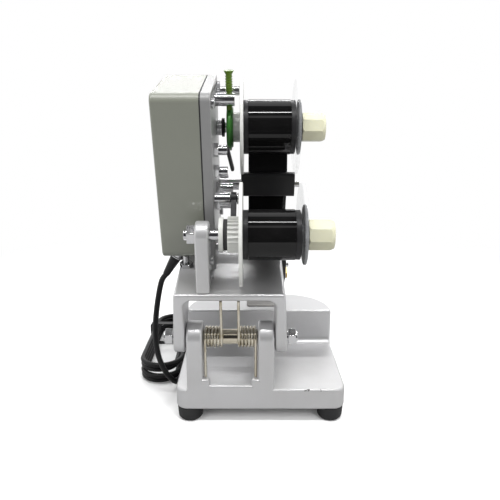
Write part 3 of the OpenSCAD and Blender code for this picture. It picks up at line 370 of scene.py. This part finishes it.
# pieces whose outer edges are rounded to the full radius, and the width of the slivers closed in them first
fullRound = {"base_casting": 0.2, "arm_casting": 0.42, "take_up_bracket": weld, "main_plate": weld,
             "control_box": 0.3}
sliver = 0.01 * mm
# only the outer rim of the box is rounded, to the left of this plane
boxFace = -85.9 * mm
# the base's rear face is made one plane down to its lower edge
baseRear = {"y": -79 * mm, "step": 0.03 * mm, "low": 14 * mm, "rise": 1.1 * mm}
sharpEdge = math.radians(32)
flatEnough = math.radians(0.4)


def dress(node, paint, edge, rings):
    bm = bmesh.new()
    bm.from_mesh(frame["nodes"][node].data)
    if node == "base_casting":
        for v in bm.verts:
            if abs(v.co.y - baseRear["y"]) < baseRear["step"]:
                v.co.y = baseRear["y"]
                v.co.z = baseRear["low"] if v.co.z < baseRear["low"] + baseRear["rise"] else v.co.z
    bmesh.ops.remove_doubles(bm, verts=bm.verts, dist=fullRound.get(node, weld) * mm)
    # the bracket's solids meet at an inner wall along X, whose edges have three faces
    seams = [side for side in bm.edges if len(side.link_faces) > 2
             and abs(side.verts[0].co.x - side.verts[1].co.x) < mm]
    inner = {face for side in seams for face in side.link_faces if abs(face.normal.x) < 0.5}
    bmesh.ops.delete(bm, geom=list(inner), context="FACES")
    if node in fullRound:
        bmesh.ops.dissolve_degenerate(bm, dist=sliver, edges=bm.edges)
    bmesh.ops.dissolve_limit(bm, angle_limit=flatEnough, verts=bm.verts, edges=bm.edges)
    if node in fullRound:
        outer = [side for side in bm.edges if side.calc_face_angle(0.0) > sharpEdge and side.is_convex
                 and (node != "control_box" or max(v.co.x for v in side.verts) < boxFace)]
        bmesh.ops.bevel(bm, geom=outer, offset=edge * mm, offset_type="OFFSET", segments=rings, profile=0.5,
                        affect="EDGES", material=-1, clamp_overlap=False, loop_slide=True)
    for face in bm.faces:
        face.smooth = True
    for side in bm.edges:
        side.smooth = side.calc_face_angle(0.0) < sharpEdge
    mesh = bpy.data.meshes.new(node + "_dressed")
    bm.to_mesh(mesh)
    bm.free()
    piece = show(node + "_dressed", mesh, paint)
    if node in fullRound:
        shading = piece.modifiers.new("shading", "WEIGHTED_NORMAL")
        shading.keep_sharp = True
        shading.weight = 100
    elif edge:
        softer = piece.modifiers.new("edge", "BEVEL")
        softer.width = edge * mm
        softer.segments = rings
        softer.limit_method = "ANGLE"
        softer.angle_limit = sharpEdge
        softer.harden_normals = True
    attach(piece, bodyOf[node])
    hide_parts(node)
    return piece


dressed = {node: dress(node, *how) for node, how in dressing.items()}
print("CAD pieces dressed:", len(dressed))


# small turned rings on the reels and shafts: from and to along X, inner and outer radius, softened corner
ringSet = {
    "supply_sleeve_ring": {"size": (-31.0, -28.3, 7.4, 8.9, 0.5), "axis": supplySpot, "paint": black,
                           "body": "arm", "slot": "black_plastic"},
    "supply_knob_seal": {"size": (44.2, 45.9, 12.9, 14.6, 0.7), "axis": supplySpot, "paint": rubber,
                         "body": "supply_reel", "slot": "rubber"},
    "supply_knob_washer": {"size": (43.9, 44.7, 13.1, 18.5, 0.25), "axis": supplySpot, "paint": plate,
                           "body": "supply_reel", "slot": "chrome"},
    "take_up_knob_seal": {"size": (44.2, 45.9, 12.9, 14.6, 0.7), "axis": takeUpSpot, "paint": rubber,
                          "body": "take_up_reel", "slot": "rubber"},
    "take_up_knob_washer": {"size": (43.9, 44.7, 13.1, 18.5, 0.25), "axis": takeUpSpot, "paint": plate,
                            "body": "take_up_reel", "slot": "chrome"},
}


# a finished small piece: its level millimetres are lifted with the arm, and it rides on its body
def fitPiece(name, bm, how):
    bmesh.ops.recalc_face_normals(bm, faces=bm.faces)
    bmesh.ops.scale(bm, vec=(mm, mm, mm), verts=bm.verts)
    bmesh.ops.transform(bm, matrix=tiltArm, verts=bm.verts)
    for face in bm.faces:
        face.smooth = True
    for side in bm.edges:
        side.smooth = side.calc_face_angle(0.0) < sharpEdge
    mesh = bpy.data.meshes.new(name)
    bm.to_mesh(mesh)
    bm.free()
    piece = show(name, mesh, how["paint"])
    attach(piece, how["body"])
    return piece


def turnRing(name, how):
    x0, x1, inner, outer, soft = how["size"]
    bm = bmesh.new()
    bmesh.ops.create_grid(bm, x_segments=1, y_segments=1, size=0.5)
    bmesh.ops.scale(bm, vec=(x1 - x0, outer - inner, 1.0), verts=bm.verts)
    bmesh.ops.translate(bm, vec=((x0 + x1) / 2, (inner + outer) / 2, 0.0), verts=bm.verts)
    bmesh.ops.bevel(bm, geom=bm.verts[:], offset=soft, segments=3, profile=0.5, affect="VERTICES",
                    material=-1)
    bmesh.ops.delete(bm, geom=bm.faces[:], context="FACES_ONLY")
    bmesh.ops.spin(bm, geom=bm.verts[:] + bm.edges[:], cent=(0, 0, 0), axis=(1, 0, 0), dvec=(0, 0, 0),
                   angle=2 * math.pi, steps=64, use_merge=True, use_duplicate=False)
    bmesh.ops.translate(bm, vec=(0.0, *how["axis"]), verts=bm.verts)
    fitPiece(name, bm, how)


for name, how in ringSet.items():
    turnRing(name, how)

# scale round the heat dial, on the operator's face of the box
scaleInk = moulded("scaleInk", solid(0.80, 0.80, 0.78), solid(0.70, 0.70, 0.68), 0.5)
dialScale = {"middle": (-65.5, 71.0, 254.0), "marks": 28, "sweep": 270.0, "inner": 13.6, "short": 1.6,
             "long": 3.0, "every": 9, "wide": 0.55, "proud": 0.25, "paint": scaleInk, "body": "arm",
             "slot": "white_plastic"}
bm = bmesh.new()
for k in range(dialScale["marks"]):
    tall = dialScale["long"] if k % dialScale["every"] == 0 else dialScale["short"]
    mark = bmesh.ops.create_cube(bm, size=1.0)["verts"]
    bmesh.ops.scale(bm, vec=(dialScale["wide"], dialScale["proud"] * 2, tall), verts=mark)
    bmesh.ops.translate(bm, vec=(0.0, 0.0, -dialScale["inner"] - tall / 2), verts=mark)
    turn = math.radians(dialScale["sweep"] * k / (dialScale["marks"] - 1))
    bmesh.ops.rotate(bm, matrix=Matrix.Rotation(turn, 3, "Y"), verts=mark)
bmesh.ops.translate(bm, vec=dialScale["middle"], verts=bm.verts)
fitPiece("dial_scale", bm, dialScale)

# flat frames with rounded corners: the rocker switch's surround, and the gasket between the box and the plate
frameSet = {
    "switch_frame": {"middle": (-65.5, 71.0, 204.0), "outer": (19.0, 26.5), "corner": 1.2, "rim": 2.2,
                     "proud": 1.4, "soft": 0.5, "turn": (-90, "X"), "paint": black, "body": "arm",
                     "slot": "black_plastic"},
    "box_gasket": {"middle": (-45.6, 21.0, 221.0), "outer": (150.3, 100.3), "corner": 7.1, "rim": 2.0,
                   "proud": 1.1, "soft": 0.2, "turn": (90, "Y"), "paint": rubber, "body": "arm",
                   "slot": "rubber"},
}


def flatFrame(name, how):
    bm = bmesh.new()
    bmesh.ops.create_grid(bm, x_segments=1, y_segments=1, size=0.5)
    bmesh.ops.scale(bm, vec=(*how["outer"], 1.0), verts=bm.verts)
    bmesh.ops.bevel(bm, geom=bm.verts[:], offset=how["corner"], segments=6, profile=0.5, affect="VERTICES",
                    material=-1)
    hole = bm.faces[:]
    bmesh.ops.inset_region(bm, faces=hole, thickness=how["rim"], use_even_offset=True, use_boundary=True)
    bmesh.ops.delete(bm, geom=hole, context="FACES_ONLY")
    wall = bmesh.ops.extrude_face_region(bm, geom=bm.faces[:])["geom"]
    raised = [v for v in wall if isinstance(v, bmesh.types.BMVert)]
    bmesh.ops.translate(bm, vec=(0.0, 0.0, how["proud"]), verts=raised)
    bmesh.ops.recalc_face_normals(bm, faces=bm.faces)
    topEdges = [e for e in bm.edges if e.calc_face_angle(0.0) > sharpEdge
                and min(v.co.z for v in e.verts) > how["proud"] / 2]
    bmesh.ops.bevel(bm, geom=topEdges, offset=how["soft"], segments=3, profile=0.5, affect="EDGES",
                    material=-1)
    angle, axis = how["turn"]
    bmesh.ops.rotate(bm, matrix=Matrix.Rotation(math.radians(angle), 3, axis), verts=bm.verts)
    bmesh.ops.translate(bm, vec=how["middle"], verts=bm.verts)
    fitPiece(name, bm, how)


for name, how in frameSet.items():
    flatFrame(name, how)

# release lever on the end of the upper guide post
releaseLever = {"foot": (-23.4, -5.0, 241.5), "size": (3.2, 7.0, 22.0), "above": 4.0, "soft": 1.4,
                "lean": -13.0, "paint": black, "body": "arm", "slot": "black_plastic"}
bm = bmesh.new()
bmesh.ops.create_cube(bm, size=1.0)
bmesh.ops.scale(bm, vec=releaseLever["size"], verts=bm.verts)
bmesh.ops.translate(bm, vec=(0.0, 0.0, releaseLever["above"] - releaseLever["size"][2] / 2), verts=bm.verts)
bmesh.ops.bevel(bm, geom=bm.edges[:], offset=releaseLever["soft"], segments=3, profile=0.5, affect="EDGES",
                material=-1)
bmesh.ops.rotate(bm, matrix=Matrix.Rotation(math.radians(releaseLever["lean"]), 3, "Y"), verts=bm.verts)
bmesh.ops.translate(bm, vec=releaseLever["foot"], verts=bm.verts)
fitPiece("release_lever", bm, releaseLever)
print("small pieces fitted")


# a round tube along points, made a mesh
def tubeMesh(name, points, thick, rings):
    line = bpy.data.curves.new(name + "_line", "CURVE")
    line.dimensions = "3D"
    line.bevel_depth = thick / 2
    line.bevel_resolution = rings
    line.use_fill_caps = True
    spline = line.splines.new("POLY")
    spline.points.add(len(points) - 1)
    for knot, spot in zip(spline.points, points):
        knot.co = (*spot, 1.0)
    holder = bpy.data.objects.new(name + "_line", line)
    scene.collection.objects.link(holder)
    bpy.context.view_layer.update()
    mesh = bpy.data.meshes.new_from_object(holder.evaluated_get(bpy.context.evaluated_depsgraph_get()))
    bpy.data.objects.remove(holder)
    bpy.data.curves.remove(line)
    mesh.name = name
    mesh.shade_smooth()
    return mesh


# points of a smooth line through knots
def through(knots, steps):
    made = []
    for i in range(len(knots) - 1):
        b, c = knots[i], knots[i + 1]
        a = knots[i - 1] if i else b
        d = knots[i + 2] if i + 2 < len(knots) else c
        for k in range(steps):
            t = k / steps
            made.append(0.5 * (2 * b + (c - a) * t + (2 * a - 5 * b + 4 * c - d) * t ** 2
                               + (3 * b - a - 3 * c + d) * t ** 3))
    return made + [knots[-1]]


# lift springs, drawn once at rest and on no body: the outer leg stands on the base, and the inner leg runs up
# to the arm, with which it turns on the machine
liftSpring = {"wire": 2.6 * mm, "radius": 8.9 * mm, "start": -45.4 * mm, "pitch": 3.1 * mm, "turns": 5,
              "steps": 28, "foot": 45.3 * mm, "top": onArm(0, -72.9, 127)}


def springLine(flip):
    s = liftSpring
    points = [Vector((s["start"], hinge["y"] - s["radius"], s["foot"] + k * (hinge["z"] - s["foot"]) / 4))
              for k in range(4)]
    for k in range(s["turns"] * s["steps"] + 1):
        turn = k / s["steps"]
        a = math.pi - 2 * math.pi * turn
        points.append(Vector((s["start"] + s["pitch"] * turn, hinge["y"] + s["radius"] * math.cos(a),
                              hinge["z"] + s["radius"] * math.sin(a))))
    last = points[-1].copy()
    for k in range(1, 5):
        points.append(Vector((last.x, last.y + (s["top"].y - last.y) * k / 4,
                              last.z + (s["top"].z - last.z) * k / 4)))
    if flip:
        points = [Vector((2 * hinge["x"] - p.x, p.y, p.z)) for p in points]
    return points


for side, flip in (("left", False), ("right", True)):
    points = springLine(flip)
    coil = show("lift_spring_" + side, tubeMesh("lift_spring_" + side, points, liftSpring["wire"], 3), wire)
    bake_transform(coil)
    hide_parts("torsion_springs")
print("springs wound")

# mains lead: down from the strain relief and into the tied hank, the same route as its solids
lead = {
    "thick": 5.6 * mm, "exit": onArm(-86.7, -15, 120.5389), "run": onArm(-92.1, -15, 111.1858),
    "drop": [(-97, -25, 97), (-99, -29, 73), (-97, -33, 50), (-91, -32, 30), (-84, -22, 13), (-80, -8, 5),
             (-78.9, 6.8, 4), (-78.9, 18, 4), (-78.9, 29.2, 4)],
    "middle": (-102, 64), "foldIn": 16.8, "step": 6.3, "straight": 100, "low": 4.0, "loops": 4,
    "loopSteps": 48,
    "tail": [(-78.9, 28, 24.9), (-78.9, 48, 32.6), (-78.9, 54, 34.6), (-78.9, 59.6, 34.6)],
}


def hankLine():
    points = []
    for k in range(lead["loops"] * lead["loopSteps"]):
        u = (k + 0.5) / lead["loopSteps"]
        layer = int(u)
        f = u - layer
        a = 2 * math.pi * u
        r = lead["foldIn"] + lead["step"] * (1 - f if layer % 2 == 0 else f)
        end = 1 if math.sin(a) > 0 else -1
        points.append(Vector((lead["middle"][0] + r * math.cos(a),
                              lead["middle"][1] + end * lead["straight"] / 2 + r * math.sin(a),
                              lead["low"] + lead["step"] * layer)) * mm)
    return points


drop = through([lead["exit"], lead["run"]] + [Vector(p) * mm for p in lead["drop"]], 5)
wound = hankLine()
tail = through([wound[-2], wound[-1]] + [Vector(p) * mm for p in lead["tail"]], 5)[6:]
leadLine = drop + wound + tail
leadLength = sum((b - a).length for a, b in zip(leadLine, leadLine[1:]))
print("lead length", round(leadLength, 4))
mainsLead = show("mains_lead", tubeMesh("mains_lead", leadLine, lead["thick"], 4), sheath)
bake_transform(mainsLead)
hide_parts("power_cord", "cord_hank")
print("lead laid")

# pale floor that fades into the white surround; it throws back less light than the camera sees in it
floorLook = {"half": 6.0, "near": 0.35, "far": 0.75, "white": solid(0.93, 0.93, 0.93),
             "bounce": solid(0.36, 0.36, 0.36)}
bm = bmesh.new()
bmesh.ops.create_grid(bm, x_segments=1, y_segments=1, size=floorLook["half"])
floorMesh = bpy.data.meshes.new("floor")
bm.to_mesh(floorMesh)
bm.free()
ground = Paint("paleFloor")
away = ground.radius((0.0, 0.0, 0.0), (1.0, 1.0, 0.0)).ease(floorLook["near"], floorLook["far"])
straight = ground.node("ShaderNodeLightPath", out="Is Camera Ray")
tone = ground.mix(straight, floorLook["bounce"], floorLook["white"])
matt = ground.node("ShaderNodeBsdfDiffuse", None, {"Color": tone})
glow = ground.node("ShaderNodeEmission", None, {"Color": solid(1, 1, 1), "Strength": 1.0})
both = ground.node("ShaderNodeMixShader", None, {0: away, 1: matt, 2: glow})
ground.tree.links.new(both.out, ground.tree.nodes.new("ShaderNodeOutputMaterial").inputs[0])
floor = show("floor", floorMesh, ground.material)

# soft white surround, plain for the camera and for what is seen in or through a piece
skyLook = {"light": 0.42, "seen": 0.58}
sky = bpy.data.worlds.new("surround")
scene.world = sky
sky.use_nodes = True
sky.node_tree.nodes.clear()
skyTree = sky.node_tree
rays = skyTree.nodes.new("ShaderNodeLightPath")
seen = Sock(skyTree, rays.outputs["Is Camera Ray"]) + Sock(skyTree, rays.outputs["Is Glossy Ray"])
seen = seen + Sock(skyTree, rays.outputs["Is Transmission Ray"])
level = skyLook["light"] + seen * skyLook["seen"]
backdrop = skyTree.nodes.new("ShaderNodeBackground")
backdrop.inputs["Color"].default_value = solid(1, 1, 1)
feed(skyTree, backdrop.inputs["Strength"], level)
skyTree.links.new(backdrop.outputs[0], skyTree.nodes.new("ShaderNodeOutputWorld").inputs[0])

# the strips give plating and foil crisp lines; the broad lamps are kept out of reflections
lamps = {
    "overhead": {"spot": (0.12, 0.0, 1.25), "aim": (0.0, 0.0, 0.15), "size": (1.1, 1.1), "power": 12.0,
                 "mirror": False},
    "sideFill": {"spot": (-0.62, -0.62, 0.45), "aim": (0.0, -0.02, 0.12), "size": (0.5, 0.5), "power": 3.0,
                 "mirror": False},
    "frontFill": {"spot": (0.55, -0.75, 0.70), "aim": (0.0, 0.0, 0.10), "size": (0.5, 0.5), "power": 5.0,
                  "mirror": False},
    "strip": {"spot": (0.0, -0.40, 1.10), "aim": (0.0, 0.0, 0.20), "size": (1.2, 0.025), "power": 7.0,
              "mirror": True},
    "backStrip": {"spot": (0.0, 0.90, 0.95), "aim": (0.0, 0.0, 0.20), "size": (1.2, 0.03), "power": 3.5,
                  "mirror": True},
}
for name, how in lamps.items():
    light = bpy.data.lights.new(name, "AREA")
    light.shape = "RECTANGLE"
    light.size, light.size_y = how["size"]
    light.energy = how["power"]
    lamp = bpy.data.objects.new(name, light)
    lamp.location = how["spot"]
    lamp.rotation_mode = "QUATERNION"
    lamp.rotation_quaternion = (Vector(how["aim"]) - Vector(how["spot"])).to_track_quat("-Z", "Y")
    lamp.visible_glossy = how["mirror"]
    scene.collection.objects.link(lamp)

# dark cards seen only in reflections, so that plating and foil have something to mirror:
# width, depth, lean in degrees and place
cards = {
    "frontCard": (2.2, 1.25, 90, (0.0, -1.15, 0.60)),
    "roofCard": (2.2, 1.15, 0, (0.0, -0.42, 1.42)),
    "floorCard": (2.2, 0.55, 0, (0.0, -0.80, 0.012)),
}
cardTone = Paint("cardPaint").surface(solid(0.02, 0.02, 0.022), 0.9)
for name, (wide, deep, lean, spot) in cards.items():
    bm = bmesh.new()
    bmesh.ops.create_grid(bm, x_segments=1, y_segments=1, size=0.5)
    bmesh.ops.scale(bm, vec=(wide, deep, 1.0), verts=bm.verts)
    bmesh.ops.rotate(bm, matrix=Matrix.Rotation(math.radians(lean), 3, "X"), verts=bm.verts)
    bmesh.ops.translate(bm, vec=spot, verts=bm.verts)
    cardMesh = bpy.data.meshes.new(name)
    bm.to_mesh(cardMesh)
    bm.free()
    card = show(name, cardMesh, cardTone)
    card.visible_camera = False
    card.visible_diffuse = False
    card.visible_shadow = False
    card.visible_transmission = False

# camera at the photograph's angle: a close, low view of the hinge end
lookFrom = {"spot": (-0.0039, -0.5063, 0.2826), "pitch": 75.19, "lens": 36.86, "sensor": 36.0}
eye = bpy.data.cameras.new("eye")
eye.lens = lookFrom["lens"]
eye.sensor_width = lookFrom["sensor"]
eye.clip_start = 0.01
viewer = bpy.data.objects.new("eye", eye)
viewer.location = lookFrom["spot"]
viewer.rotation_euler = (math.radians(lookFrom["pitch"]), 0.0, 0.0)
scene.collection.objects.link(viewer)
scene.camera = viewer
print("stage set")
